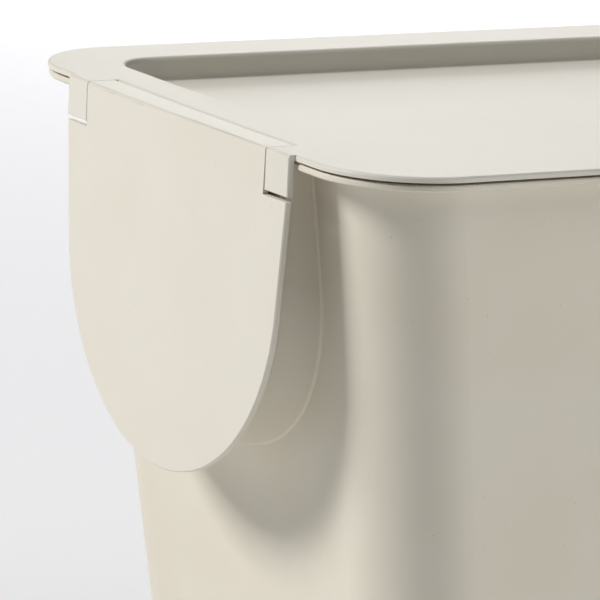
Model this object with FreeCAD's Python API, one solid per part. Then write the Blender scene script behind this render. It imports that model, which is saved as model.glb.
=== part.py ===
import FreeCAD, Part
import math
import os

# Overall sizes, in millimetres
overall_length = 420.0  # over the crowned faces of both end flaps
overall_height = 280.0
lid_width = 260.0

# Lid
lid_thickness = 2.0
lid_corner_radius = 37.0
lid_edge_radius = 0.9
recess_margin = 26.0  # from the lid's outline to the recess wall
recess_corner_radius = 18.0
recess_depth = 8.2
recess_draft = 8.0  # degrees
recess_rim_radius = 2.0
recess_floor_bevel = 0.8
tray_wall = 2.0
tray_edge_bevel = 2.0
skirt_depth = 5.0
skirt_thickness = 1.5
skirt_clearance = 0.4

# End flaps
flap_width = 159.6
flap_thickness = 2.0
flap_arc_radius = 76.3
flap_arc_drop = 49.2  # from the lid's top to the centre of the rounded bottom
flap_edge_bevel = 0.4
end_crown = 1.1  # bow of the flap's face across its width
end_edge_radius = 1.2  # from that face to the top, on the flap and the lugs alike
ledge_depth = 11.2
ledge_edge_radius = 0.6
neck_draft = 0.3  # how much narrower each side of the flap's neck is at its foot

# Hinge lugs on the lid
lug_width = 15.0
lug_inner_half = 65.2  # from the middle of the lid's end to a lug
lug_height = 14.5
lug_thickness = 2.2
lug_projection = 2.5  # lug faces stand this far out of the lid's end
lug_edge_bevel = 0.3
knuckle_radius = 2.4
knuckle_length = 7.0
hinge_setback = 3.2
pin_radius = 1.5
pin_length = 5.0
pin_clearance = 0.05
pin_end_gap = 0.3
cheek_thickness = 3.0
side_slit = 0.45
back_slit = 0.8
slit_edge_radius = 1.0  # of the lid, behind the slit
shoulder_gap = 1.65

# Bin body
body_wall = 2.0
base_thickness = 2.6
body_corner_radius = 31.5
end_draft = 7.9  # degrees
side_draft = 4.6  # degrees
base_edge_radius = 6.0
floor_edge_bevel = 3.5
foot_width = 14.0
foot_height = 1.0
rim_thickness = 2.2
rim_inset = 0.5  # rim outline inside the lid's outline
rim_overhang = 12.0
rim_edge_bevel = 0.5
rim_end_gap = 0.8  # from a lug's side to the end of the rim
rim_end_radius = 1.0
seam_gap = 1.0  # shadow gap between lid and rim
seat_width = 3.0

# Boss behind each flap
boss_setback = 2.0  # from the flap's back to the boss
boss_overlap = 6.4  # how far the flap reaches past the boss at its sides
boss_lift = 1.7  # of the boss's rounded bottom, above the flap's
boss_edge_bevel = 1.5
boss_root_bevel = 0.8
swing_clearance = 1.0
hinge_clearance = 1.6  # behind the hinge knuckles
ledge_clearance = 1.5  # below the ledge as it swings down over the boss
ledge_back_clearance = 1.35
ledge_room_skin = 1.0  # left of the boss's side walls beside the flap's ledge

# Values that follow from the sizes above
V = FreeCAD.Vector
top = overall_height
face_x = overall_length / 2 - end_crown
crown_radius = (flap_width ** 2 / 4 + end_crown ** 2) / (2 * end_crown)
lid_half_x = face_x - lug_projection
lid_half_y = lid_width / 2
rim_top = top - lid_thickness - seam_gap
rim_bottom = rim_top - rim_thickness
rim_half_x = lid_half_x - rim_inset
rim_half_y = lid_half_y - rim_inset
rim_radius = lid_corner_radius - rim_inset
neck_half = lug_inner_half - side_slit
arc_z = top - flap_arc_drop
hinge_x = -(face_x - hinge_setback)
hinge_z = top - knuckle_radius
swing_radius = math.hypot(ledge_depth - hinge_setback, knuckle_radius)
boss_front = flap_thickness + boss_setback
boss_radius = flap_arc_radius - boss_overlap
boss_arc_z = arc_z + boss_lift
hinge_room_x = hinge_x + knuckle_radius + hinge_clearance
ledge_room_half = boss_radius - ledge_room_skin
ledge_room_x = -(face_x - ledge_depth - ledge_back_clearance)
ledge_room_z = hinge_z - swing_radius - ledge_clearance
rim_gap_half = lug_inner_half + lug_width + rim_end_gap
rim_gap_z = hinge_z - knuckle_radius - swing_clearance
far = overall_length  # longer than any piece, for cutters
tiny = 0.01


def rounded_outline(half_x, half_y, radius, z):
    """Closed wire of a rectangle with round corners, level at z."""
    x, y = half_x - radius, half_y - radius
    cut = radius * math.sqrt(0.5)
    edges = []
    for sx, sy, start, end in (
        (1, 1, (half_x, y), (x, half_y)),
        (-1, 1, (-x, half_y), (-half_x, y)),
        (-1, -1, (-half_x, -y), (-x, -half_y)),
        (1, -1, (x, -half_y), (half_x, -y)),
    ):
        middle = V(sx * (x + cut), sy * (y + cut), z)
        edges.append(Part.Arc(V(*start, z), middle, V(*end, z)).toShape())
    joined = []
    for index, edge in enumerate(edges):
        following = edges[(index + 1) % len(edges)]
        joined.append(edge)
        joined.append(Part.makeLine(edge.Vertexes[-1].Point, following.Vertexes[0].Point))
    return Part.Wire(joined)


def upright(wire, height):
    """Solid standing on a level wire."""
    return Part.Face(wire).extrude(V(0, 0, height))


def tapered(low_sizes, low_z, high_sizes, high_z, radius):
    """Box with leaning flat walls between two levels, its four corners rounded."""
    (low_x, low_y), (high_x, high_y) = low_sizes, high_sizes
    solid = Part.makeWedge(-low_x, low_z, -low_y, -high_y, -high_x, low_x, high_z, low_y, high_y, high_x)
    solid.rotate(V(0, 0, 0), V(1, 0, 0), 90)
    corner_edges = [edge for edge in solid.Edges if edge.BoundBox.ZLength > tiny]
    return solid.makeFillet(radius, corner_edges)


def crowned_x(depth, y):
    """X of the left end's crowned face at y, set back by a depth."""
    centre = crown_radius - face_x - end_crown
    return centre - math.sqrt((crown_radius - depth) ** 2 - y ** 2)


def on_crown(edge, depth):
    """Whether an edge lies on the crowned face of either end, set back by a depth."""
    points = edge.discretize(5)
    return all(abs(abs(point.x) + crowned_x(depth, point.y)) < tiny for point in points)


def crown(depth):
    """Upright cylinder whose left side is the left end's crowned face, set back by a depth."""
    axis_foot = V(crown_radius - face_x - end_crown, 0, 0)
    return Part.makeCylinder(crown_radius - depth, far, axis_foot)


def between_crowns(shape, near, deep):
    """Part of a shape that lies between two depths behind the left end's crowned face."""
    return shape.common(crown(near)).cut(crown(deep))


def crowned_block(near, deep, y_low, y_high, z_low, z_high):
    """Block behind the left end's crowned face, between two depths."""
    return between_crowns(block(-far, 0, y_low, y_high, z_low, z_high), near, deep)


def tongue(side_path, radius, centre_z, x_from, x_to):
    """Tongue-shaped prism along X: side points from the top down, then a round bottom."""
    shoulder_y, shoulder_z = side_path[-1]
    rise = shoulder_z - centre_z
    angle = math.atan2(rise, shoulder_y) - math.acos(radius / math.hypot(shoulder_y, rise))
    path = side_path + [(radius * math.cos(angle), centre_z + radius * math.sin(angle))]
    right = [V(x_from, y, z) for y, z in path]
    left = [V(x_from, -y, z) for y, z in reversed(path)]
    edges = [Part.makeLine(a, b) for a, b in zip(right, right[1:])]
    edges.append(Part.Arc(right[-1], V(x_from, 0, centre_z - radius), left[0]).toShape())
    edges += [Part.makeLine(a, b) for a, b in zip(left, left[1:])]
    edges.append(Part.makeLine(left[-1], right[0]))
    return Part.Face(Part.Wire(edges)).extrude(V(x_to - x_from, 0, 0))


def rod(radius, y_low, y_high):
    """Round bar along the left hinge axis."""
    return Part.makeCylinder(radius, y_high - y_low, V(hinge_x, y_low, hinge_z), V(0, 1, 0))


def block(x_low, x_high, y_low, y_high, z_low, z_high):
    size = (x_high - x_low, y_high - y_low, z_high - z_low)
    return Part.makeBox(*size, V(x_low, y_low, z_low))


def other_end(shape):
    """Copy of a shape at the opposite end of the bin."""
    turned = shape.copy()
    turned.rotate(V(0, 0, 0), V(0, 0, 1), 180)
    return turned


def both_sides(shape):
    """A shape and its mirror image across the bin's long axis."""
    return [shape, shape.mirror(V(0, 0, 0), V(0, 1, 0))]


def four_corners(shape):
    """A shape of the left end's +Y side, repeated at both sides of both ends."""
    sides = both_sides(shape)
    return sides + [other_end(side) for side in sides]


def level_edges(shape, z):
    """Edges of a shape that lie level at z."""
    return [edge for edge in shape.Edges
            if abs(edge.BoundBox.ZMin - z) < tiny and abs(edge.BoundBox.ZMax - z) < tiny]


def body_half_sizes(z, inset):
    """Half length and half width of the bin's wall at height z."""
    drop = rim_bottom - z
    half_x = rim_half_x - rim_overhang - drop * math.tan(math.radians(end_draft)) - inset
    half_y = rim_half_y - rim_overhang - drop * math.tan(math.radians(side_draft)) - inset
    return half_x, half_y


def body_taper(low_z, high_z, inset):
    """Solid that fills the bin's wall, or its inside, between two levels."""
    low_sizes, high_sizes = body_half_sizes(low_z, inset), body_half_sizes(high_z, inset)
    return tapered(low_sizes, low_z, high_sizes, high_z, body_corner_radius - inset)


def body_outline(z, inset):
    """Level outline with the bin's size at height z."""
    return rounded_outline(*body_half_sizes(z, inset), body_corner_radius - inset, z)


def make_boss(inset, top_z, bevel):
    """Boss prism of the left end, inset all round for its inside."""
    radius = boss_radius - inset
    front_x = -face_x + boss_front + inset
    boss = tongue([(radius, top_z)], radius, boss_arc_z, front_x, 0)
    front_edges = [edge for edge in boss.Edges
                   if edge.BoundBox.XMax < front_x + tiny and edge.BoundBox.ZMin < top_z - tiny]
    return boss.makeChamfer(bevel, front_edges)


def at_boss_root(edge):
    """Whether an edge is where a boss grows out of the bin's end wall."""
    for point in edge.discretize(5):
        on_wall = abs(abs(point.x) - body_half_sizes(point.z, 0)[0]) < tiny
        reach = math.hypot(point.y, min(point.z - boss_arc_z, 0))
        if not on_wall or abs(reach - boss_radius) > tiny:
            return False
    return True


def rim_gap():
    """Cutter for the break in the rim behind the left end's lugs and hinge."""
    return block(-far, hinge_room_x, -rim_gap_half, rim_gap_half, rim_gap_z, top)


def at_rim_end(edge):
    """Whether an edge is an upright corner where the rim breaks off beside a lug."""
    place = edge.CenterOfMass
    beside_lug = abs(abs(place.y) - rim_gap_half) < tiny and abs(place.x) > abs(hinge_room_x) + tiny
    return beside_lug and edge.BoundBox.ZLength > tiny


def make_rim():
    """Flange round the mouth of the bin."""
    rim = upright(rounded_outline(rim_half_x, rim_half_y, rim_radius, rim_bottom), rim_thickness)
    rim = rim.cut([rim_gap(), other_end(rim_gap())])
    rim = rim.makeFillet(rim_end_radius, [edge for edge in rim.Edges if at_rim_end(edge)])
    return rim.makeChamfer(rim_edge_bevel, level_edges(rim, rim_bottom) + level_edges(rim, rim_top))


def make_body():
    shell = body_taper(0, rim_bottom, 0)
    shell = shell.makeFillet(base_edge_radius, level_edges(shell, 0))
    boss = make_boss(0, rim_bottom, boss_edge_bevel)
    shell = shell.fuse([boss, other_end(boss)]).removeSplitter()
    shell = shell.makeChamfer(boss_root_bevel, [edge for edge in shell.Edges if at_boss_root(edge)])
    seat = upright(body_outline(rim_top, body_wall - seat_width), seam_gap)
    shell = shell.fuse([make_rim(), seat])
    hollow = body_taper(base_thickness, top, body_wall)
    hollow = hollow.makeChamfer(floor_edge_bevel, level_edges(hollow, base_thickness))
    pocket = make_boss(body_wall, top, boss_edge_bevel / 2)
    ledge_room = block(-far, ledge_room_x, -ledge_room_half, ledge_room_half, ledge_room_z, top)
    foot = upright(body_outline(0, foot_width), foot_height)
    cutters = [hollow, foot]
    for cutter in (pocket, ledge_room, rim_gap()):
        cutters += [cutter, other_end(cutter)]
    return shell.cut(cutters).removeSplitter()


def make_lug():
    """Lug at the left end of the lid, on the +Y side."""
    inner, outer = lug_inner_half, lug_inner_half + lug_width
    knuckle_end = inner + knuckle_length
    plate = crowned_block(0, lug_thickness, inner, outer, top - lug_height, top)
    tab = crowned_block(0, ledge_depth, inner, outer, top - lid_thickness, top)
    knuckle = rod(knuckle_radius, inner, knuckle_end)
    web_x = -face_x + lug_thickness / 2
    web = block(web_x, hinge_x + knuckle_radius, inner, knuckle_end, hinge_z, top - lid_thickness / 2)
    root = block(web_x, hinge_x, inner, knuckle_end, hinge_z - knuckle_radius, hinge_z)
    lug = plate.fuse([tab, knuckle, web, root]).removeSplitter()
    rims = [edge for edge in lug.Edges if edge.BoundBox.ZMin < top - tiny and on_crown(edge, 0)]
    lug = lug.makeChamfer(lug_edge_bevel, rims)
    front = [edge for edge in level_edges(lug, top) if on_crown(edge, 0)]
    return lug.makeFillet(end_edge_radius, front)


def recess_taper(low_z, high_z, inset):
    """Solid that fills the lid's recess, or its tray, between two levels."""
    sizes = []
    for z in (low_z, high_z):
        lean = (top - z) * math.tan(math.radians(recess_draft)) + inset
        sizes.append((lid_half_x - recess_margin - lean, lid_half_y - recess_margin - lean))
    return tapered(sizes[0], low_z, sizes[1], high_z, recess_corner_radius - inset)


def at_recess(edge):
    """Whether an edge of the lid's top belongs to the rim of its recess."""
    middle = edge.CenterOfMass
    inside_x = abs(middle.x) < lid_half_x - recess_margin + tiny
    return inside_x and abs(middle.y) < lid_half_y - recess_margin + tiny


def skirt_outline(inset):
    """Outline of the lid's skirt, which fits inside the mouth of the bin."""
    skirt_z = top - lid_thickness - skirt_depth
    return body_outline(skirt_z, body_wall + skirt_clearance + inset)


def make_lid():
    flange_outline = rounded_outline(lid_half_x, lid_half_y, lid_corner_radius, top - lid_thickness)
    flange = upright(flange_outline, lid_thickness)
    flange = flange.makeFillet(lid_edge_radius, level_edges(flange, top))
    inside_flange = top - lid_thickness / 2
    floor_z = top - recess_depth
    under_z = floor_z - tray_wall
    tray = recess_taper(under_z, inside_flange, -tray_wall)
    tray = tray.makeChamfer(tray_edge_bevel, level_edges(tray, under_z))
    skirt_height = skirt_depth + lid_thickness / 2
    skirt = upright(skirt_outline(0), skirt_height).cut(upright(skirt_outline(skirt_thickness), skirt_height))
    notch = crowned_block(-ledge_depth, ledge_depth + back_slit, -lug_inner_half, lug_inner_half,
                          top - lug_height, top + lid_thickness)
    recess = recess_taper(floor_z, top, 0)
    recess = recess.makeChamfer(recess_floor_bevel, level_edges(recess, floor_z))
    between_lugs = block(-far, far, -lug_inner_half, lug_inner_half, top - lid_thickness, top)
    strip = flange.common(between_lugs).cut([notch, other_end(notch)])
    slit_edges = [edge for edge in level_edges(strip, top) if on_crown(edge, ledge_depth + back_slit)]
    strip = strip.makeFillet(slit_edge_radius, slit_edges)
    flange = flange.cut(between_lugs).fuse([strip, tray, skirt]).removeSplitter()
    flange = flange.cut([notch, other_end(notch), recess])
    hole_end = lug_inner_half + pin_length + pin_end_gap
    pin_hole = rod(pin_radius + pin_clearance, lug_inner_half - side_slit, hole_end)
    lid = flange.fuse(four_corners(make_lug())).cut(four_corners(pin_hole)).removeSplitter()
    return lid.makeFillet(recess_rim_radius, [edge for edge in level_edges(lid, top) if at_recess(edge)])


def make_flap():
    """Flap of the left end: a crowned plate, a ledge on top and two stub pins."""
    half = flap_width / 2
    shoulder_z = top - lug_height - shoulder_gap
    hinge_foot = hinge_z - knuckle_radius
    neck = [(neck_half, top), (neck_half, hinge_foot), (neck_half - neck_draft, shoulder_z)]
    outline = tongue(neck + [(half, shoulder_z)], flap_arc_radius, arc_z, -far, 0)
    plate = between_crowns(outline, 0, flap_thickness)
    ledge = crowned_block(0, ledge_depth, -neck_half, neck_half, top - lid_thickness, top)
    cheek_y = (neck_half - cheek_thickness, neck_half)
    web_x = -face_x + flap_thickness / 2
    web = block(web_x, hinge_x + knuckle_radius, *cheek_y, hinge_z, top - lid_thickness / 2)
    root = block(web_x, hinge_x, *cheek_y, hinge_foot, hinge_z)
    knuckle = rod(knuckle_radius, *cheek_y)
    pin = rod(pin_radius, cheek_y[0], lug_inner_half + pin_length)
    cheek = web.fuse([root, knuckle, pin])
    flap = plate.fuse([ledge] + both_sides(cheek)).removeSplitter()
    rims = [edge for edge in flap.Edges if edge.BoundBox.ZMin < shoulder_z - tiny and on_crown(edge, 0)]
    flap = flap.makeChamfer(flap_edge_bevel, rims)
    front = [edge for edge in level_edges(flap, top) if on_crown(edge, 0)]
    flap = flap.makeFillet(end_edge_radius, front)
    back = [edge for edge in level_edges(flap, top) if on_crown(edge, ledge_depth)]
    return flap.makeFillet(ledge_edge_radius, back)


os.makedirs("parts", exist_ok=True)
left_flap = make_flap()
pieces = {
    "bin_body": make_body(),
    "lid": make_lid(),
    "end_flap_left": left_flap,
    "end_flap_right": other_end(left_flap),
}
for name, shape in pieces.items():
    solids = shape.Solids
    shape = solids[0] if len(solids) == 1 else shape
    shape.exportStep("parts/" + name + ".step")
    box = shape.BoundBox
    print(name, len(solids), shape.isValid(), round(shape.Volume), [round(v, 2) for v in (
        box.XMin, box.XMax, box.YMin, box.YMax, box.ZMin, box.ZMax)])
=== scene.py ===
import math
import bpy
import bmesh
from mathutils import Euler, Matrix, Vector

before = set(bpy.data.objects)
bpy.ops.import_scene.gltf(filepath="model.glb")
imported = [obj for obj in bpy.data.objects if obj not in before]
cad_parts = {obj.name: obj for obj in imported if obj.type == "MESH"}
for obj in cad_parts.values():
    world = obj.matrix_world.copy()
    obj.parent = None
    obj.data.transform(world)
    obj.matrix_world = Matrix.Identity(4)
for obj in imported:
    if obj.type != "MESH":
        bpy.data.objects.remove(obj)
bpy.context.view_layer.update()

perMetre = 1000  # millimetres
scene = bpy.context.scene
scene.view_settings.view_transform = "Standard"  # keeps the pale plastic's colours as they are set
print("frame loaded:", ", ".join(sorted(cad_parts)))


def linear(hexColour):  # sRGB hex to linear colour with alpha
    parts = [int(hexColour[i:i + 2], 16) / 255 for i in (1, 3, 5)]
    return [p / 12.92 if p <= 0.04045 else ((p + 0.055) / 1.055) ** 2.4 for p in parts] + [1.0]


# One node, its settings, and a constant or a link for each socket
def addNode(tree, kind, settings, sockets):
    node = tree.nodes.new(kind)
    for name, value in settings.items():
        setattr(node, name, value)
    for socket, value in sockets.items():
        if isinstance(value, bpy.types.NodeSocket):
            tree.links.new(value, node.inputs[socket])
        else:
            node.inputs[socket].default_value = value
    return node


# Camera, fitted to the edges of the lid, lugs and flap in the photograph
cameraSetup = {
    "place": (-1.13643, -1.70075, 0.62550), "clip": (0.05, 50.0),  # metres
    "yaw": 29.97, "pitch": 11.93, "roll": 2.76,  # degrees
    "lens": 341.94, "sensor": 36.0,  # millimetres
}


def makeCamera(setup):
    data = bpy.data.cameras.new("photoCamera")
    data.lens, data.sensor_width = setup["lens"], setup["sensor"]
    data.clip_start, data.clip_end = setup["clip"]
    camera = bpy.data.objects.new("photoCamera", data)
    scene.collection.objects.link(camera)
    level = Euler((math.radians(90 - setup["pitch"]), 0, math.radians(-setup["yaw"])))
    turned = level.to_matrix() @ Matrix.Rotation(math.radians(setup["roll"]), 3, "Z")
    camera.matrix_world = Matrix.Translation(setup["place"]) @ turned.to_4x4()
    scene.camera = camera


makeCamera(cameraSetup)
print("camera set")


# Polypropylene with recycled content, injection moulded in a finely eroded tool: an even pale
# greige with slow flow shading, soft broad highlights, a fine grain and a few dark specks
polypropylene = {
    "flowDetail": 2.0, "flowRange": (0.35, 0.65),  # octaves, and the part of the noise that is used
    "speckEdge": (0.7, 1.3),  # where a speck's fading starts and ends, in shares of its radius
    "grainDetail": 3.0, "grainRange": (0.3, 0.7), "grainStrength": 0.4,
    "refraction": 1.49,
}


def mixColours(tree, share, first, second):
    sockets = {0: share, 6: first, 7: second}  # by number, because this node's sockets share names
    return addNode(tree, "ShaderNodeMix", {"data_type": "RGBA"}, sockets).outputs[2]


def mouldedPolypropylene(name, finish):
    material = bpy.data.materials.new(name)
    material.use_nodes = True
    tree = material.node_tree
    tree.nodes.clear()
    place = addNode(tree, "ShaderNodeTexCoord", {}, {}).outputs["Object"]
    shifted = addNode(tree, "ShaderNodeMapping", {}, {
        "Vector": place,
        "Location": [v / perMetre for v in finish["speckShift"]]}).outputs["Vector"]

    flow = addNode(tree, "ShaderNodeTexNoise", {}, {
        "Vector": shifted, "Scale": perMetre / finish["flowSize"],
        "Detail": polypropylene["flowDetail"]})
    low, high = polypropylene["flowRange"]
    flowShare = addNode(tree, "ShaderNodeMapRange", {}, {
        "Value": flow.outputs["Fac"], "From Min": low, "From Max": high})
    colour = mixColours(
        tree, flowShare.outputs["Result"], linear(finish["colour"]), linear(finish["flowColour"]))

    inner, outer = polypropylene["speckEdge"]
    for speck in finish["specks"]:
        cells = addNode(tree, "ShaderNodeTexVoronoi", {}, {
            "Vector": shifted, "Scale": perMetre / speck["spacing"], "Randomness": 1.0})
        radius = speck["size"] / 2 / speck["spacing"]
        dot = addNode(tree, "ShaderNodeMapRange", {}, {
            "Value": cells.outputs["Distance"],
            "From Min": radius * inner, "From Max": radius * outer,
            "To Min": speck["strength"], "To Max": 0.0})
        colour = mixColours(tree, dot.outputs["Result"], colour, linear(speck["colour"]))

    grain = addNode(tree, "ShaderNodeTexNoise", {}, {
        "Vector": place, "Scale": perMetre / finish["grainSize"],
        "Detail": polypropylene["grainDetail"]})
    bump = addNode(tree, "ShaderNodeBump", {}, {
        "Height": grain.outputs["Fac"], "Strength": polypropylene["grainStrength"],
        "Distance": finish["grainDepth"] / perMetre})
    low, high = polypropylene["grainRange"]
    smoothest, roughest = finish["roughness"]
    rough = addNode(tree, "ShaderNodeMapRange", {}, {
        "Value": grain.outputs["Fac"], "From Min": low, "From Max": high,
        "To Min": smoothest, "To Max": roughest})
    shader = addNode(tree, "ShaderNodeBsdfPrincipled", {}, {
        "Base Color": colour, "Normal": bump.outputs["Normal"],
        "Roughness": rough.outputs["Result"], "IOR": polypropylene["refraction"]})
    addNode(tree, "ShaderNodeOutputMaterial", {}, {"Surface": shader.outputs["BSDF"]})
    return material


def finishNodes(material, names):
    for name in names:
        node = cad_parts[name]
        node.data.materials.clear()
        node.data.materials.append(material)


# Sizes, spacings, shifts and depths of the finishes are in millimetres
fineSpeck = {"colour": "#80755F", "size": 0.4, "spacing": 7.5, "strength": 0.55}
faintSpeck = {"colour": "#B9AF98", "size": 0.55, "spacing": 5.8, "strength": 0.36}
grainSetup = {  # drawn coarser than the real grain of about 0.05 mm, so that it shows
    "grainSize": 0.6, "grainDepth": 0.02,
}

bodyFinish = {
    "colour": "#DBD5C5", "flowColour": "#D9D2C1", "flowSize": 45.0,
    "specks": [fineSpeck, faintSpeck], "speckShift": (0.0, 0.0, 0.0),
    "roughness": (0.46, 0.56), **grainSetup,
}
finishNodes(mouldedPolypropylene("speckledPolypropyleneBody", bodyFinish), ["bin_body"])

# The lid keeps the body's greige but is set a touch cooler and more neutral: that shift is painted
# sheen, standing in for the neutral highlight on its lit top
lidFinishAndPaintedSheen = {
    "colour": "#DBD6CA", "flowColour": "#D9D4C7", "flowSize": 60.0,
    "specks": [fineSpeck, faintSpeck], "speckShift": (31.0, 17.0, 5.0),
    "roughness": (0.46, 0.56), **grainSetup,
}
finishNodes(mouldedPolypropylene("speckledPolypropyleneLidWithPaintedSheen", lidFinishAndPaintedSheen), ["lid"])

# The flaps keep the body's greige but are set a touch cooler and more neutral: that shift is
# painted sheen, standing in for the neutral highlight on their faces lit by the key light
flapFinishAndPaintedSheen = {
    "colour": "#DBD6C8", "flowColour": "#DAD4C6", "flowSize": 40.0,
    "specks": [fineSpeck, faintSpeck], "speckShift": (12.0, 43.0, 23.0),
    "roughness": (0.44, 0.54), **grainSetup,
}
finishNodes(
    mouldedPolypropylene("speckledPolypropyleneFlapWithPaintedSheen", flapFinishAndPaintedSheen),
    ["end_flap_left", "end_flap_right"])
print("finishes set")


# Pale floor, soft boxes, a low fill and two low reflector cards
studio = {
    "floorColour": "#F7F7F9", "floorRoughness": 0.9, "floorSize": 16.0,
    "aim": (-0.1, 0.0, 0.2),
    # bearing from the left end towards the front and height in degrees,
    # then distance, width and tallness in metres, and power in watts
    "lights": {
        "keySoftbox": (337, 36, 4.8, 1.4, 1.4, 209.0),
        "frontSoftbox": (120, 46, 4.8, 2.6, 2.6, 60.0),
        "backSoftbox": (240, 30, 4.8, 2.6, 2.6, 32.0),
        "lowBackFill": (240, 13, 2.6, 0.7, 0.7, 6.6),
        "frontCard": (145, -1.0, 3.2, 2.4, 0.24, 37.0),
        "backCard": (214, -1.0, 2.6, 2.0, 0.24, 25.0),
    },
}


def makeStudio(setup):
    mesh = bpy.data.meshes.new("floor")
    form = bmesh.new()
    bmesh.ops.create_grid(form, x_segments=1, y_segments=1, size=setup["floorSize"] / 2)
    form.to_mesh(mesh)
    form.free()
    floor = bpy.data.objects.new("floor", mesh)
    scene.collection.objects.link(floor)
    paper = bpy.data.materials.new("paleMattePaper")
    paper.use_nodes = True
    surface = paper.node_tree.nodes["Principled BSDF"].inputs
    surface["Base Color"].default_value = linear(setup["floorColour"])
    surface["Roughness"].default_value = setup["floorRoughness"]
    mesh.materials.append(paper)
    world = bpy.data.worlds.new("studio")
    world.use_nodes = True
    world.node_tree.nodes["Background"].inputs["Strength"].default_value = 0.0
    scene.world = world
    for name, (bearing, height, distance, width, tallness, power) in setup["lights"].items():
        data = bpy.data.lights.new(name, "AREA")
        data.shape = "RECTANGLE"
        data.size, data.size_y, data.energy = width, tallness, power
        light = bpy.data.objects.new(name, data)
        scene.collection.objects.link(light)
        light.visible_camera = False
        turn = Euler((0, math.radians(height), math.radians(bearing))).to_matrix()
        away = turn @ Vector((-1, 0, 0))
        light.location = Vector(setup["aim"]) + away * distance
        light.rotation_euler = (-away).to_track_quat("-Z", "Y").to_euler()


makeStudio(studio)
print("studio set")
